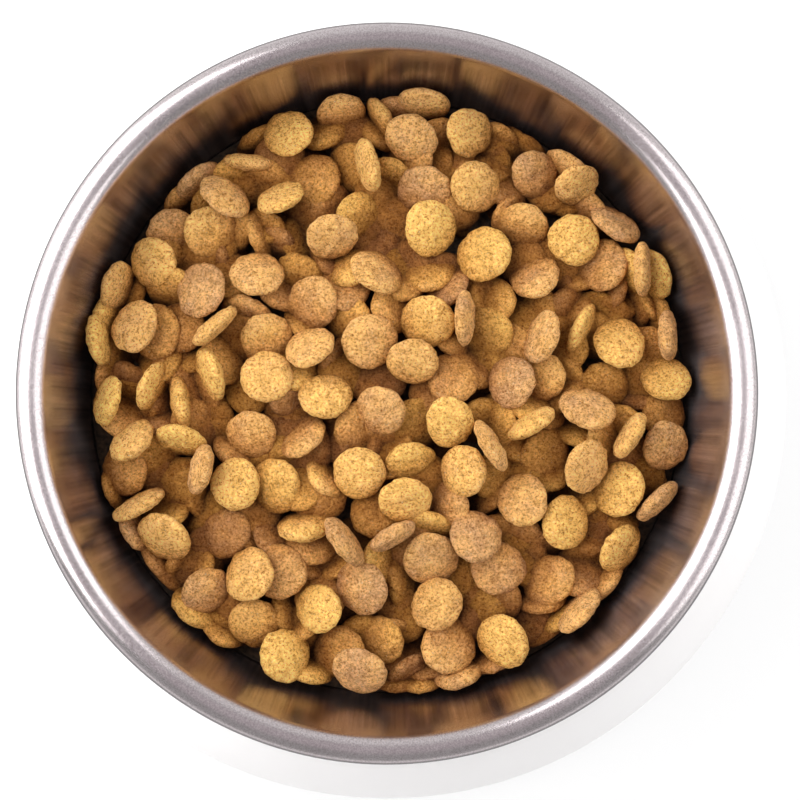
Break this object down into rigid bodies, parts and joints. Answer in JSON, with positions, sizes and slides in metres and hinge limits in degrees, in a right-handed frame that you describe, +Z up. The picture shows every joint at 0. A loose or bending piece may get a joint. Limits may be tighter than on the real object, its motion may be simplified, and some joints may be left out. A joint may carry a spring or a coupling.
{
  "type": "filled pet food bowl",
  "caption": "Round pressed steel bowl with a rolled rim, seated in a flared white outer shell on a soft ring, heaped with dry disc-shaped kibble.",
  "frame": {"origin": "on the table under the middle of the bowl, at the bottom of the soft ring", "axes": "+Z up out of the bowl; +X and +Y level, the bowl is round about Z"},
  "size_m": [0.2172, 0.2172, 0.062],
  "materials": {
    "steel": "polished",
    "shell": "satin",
    "ring": "matt",
    "kibble": null
  },
  "bodies": {
    "root": {"grip_ring": "ring", "kibble_01": "kibble", "kibble_02": "kibble", "kibble_03": "kibble", "kibble_04": "kibble", "kibble_05": "kibble", "kibble_06": "kibble", "kibble_07": "kibble", "kibble_08": "kibble", "kibble_09": "kibble", "kibble_10": "kibble", "kibble_11": "kibble", "kibble_12": "kibble", "kibble_13": "kibble", "kibble_14": "kibble", "kibble_15": "kibble", "kibble_16": "kibble", "kibble_17": "kibble", "kibble_18": "kibble", "kibble_19": "kibble", "kibble_20": "kibble", "kibble_21": "kibble", "kibble_22": "kibble", "kibble_23": "kibble", "kibble_24": "kibble", "kibble_25": "kibble", "kibble_26": "kibble", "kibble_27": "kibble", "kibble_28": "kibble", "kibble_29": "kibble", "kibble_30": "kibble", "kibble_31": "kibble", "kibble_32": "kibble", "kibble_33": "kibble", "kibble_34": "kibble", "kibble_35": "kibble", "kibble_36": "kibble", "kibble_37": "kibble", "kibble_38": "kibble", "kibble_39": "kibble", "kibble_40": "kibble", "kibble_41": "kibble", "kibble_42": "kibble", "kibble_43": "kibble", "kibble_44": "kibble", "kibble_45": "kibble", "kibble_46": "kibble", "kibble_47": "kibble", "kibble_48": "kibble", "kibble_bed": "kibble", "outer_shell": "shell", "steel_bowl": "steel"}
  },
  "joints": []
}
